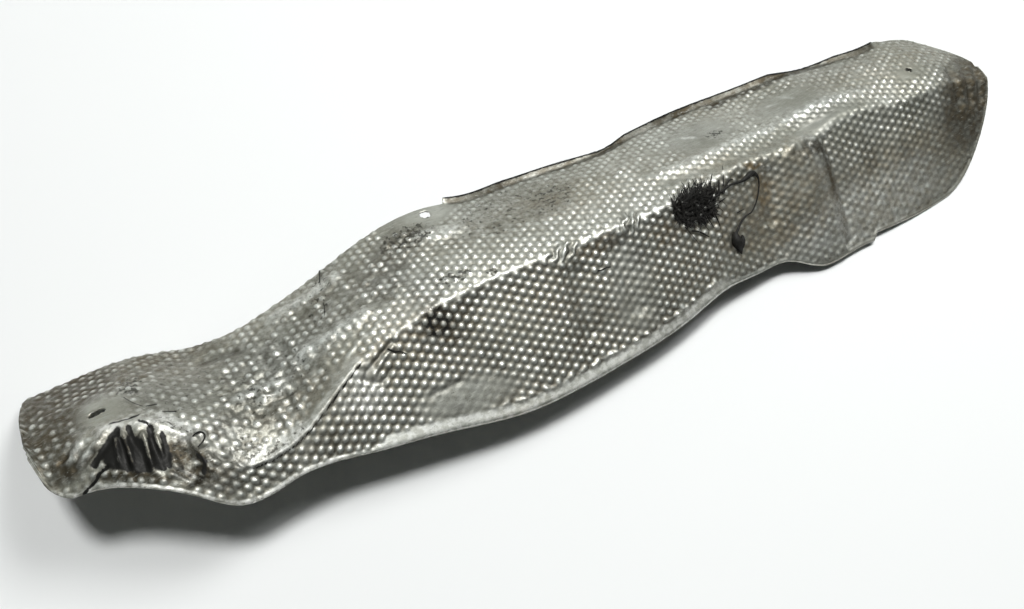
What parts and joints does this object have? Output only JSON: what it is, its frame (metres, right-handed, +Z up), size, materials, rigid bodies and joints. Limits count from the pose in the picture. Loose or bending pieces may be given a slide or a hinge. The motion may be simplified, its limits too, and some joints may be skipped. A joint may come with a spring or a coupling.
{
  "type": "exhaust heat shield",
  "caption": "Long pressed aluminium exhaust heat shield with a dimpled ridge, a domed end, a sloping skirt, an upturned back lip and fixing holes.",
  "frame": {"origin": "middle of the shield's box at floor level, with the shield lying as it comes to rest", "axes": "+X along the length towards the narrow right end, +Y from the skirt to the back lip, +Z up from the floor"},
  "size_m": [0.9634, 0.2138, 0.0986],
  "materials": {
    "embossed_aluminium": "worn embossed sheet, satin, with road dirt"
  },
  "bodies": {
    "root": {"heat_shield": "embossed_aluminium"}
  },
  "joints": []
}
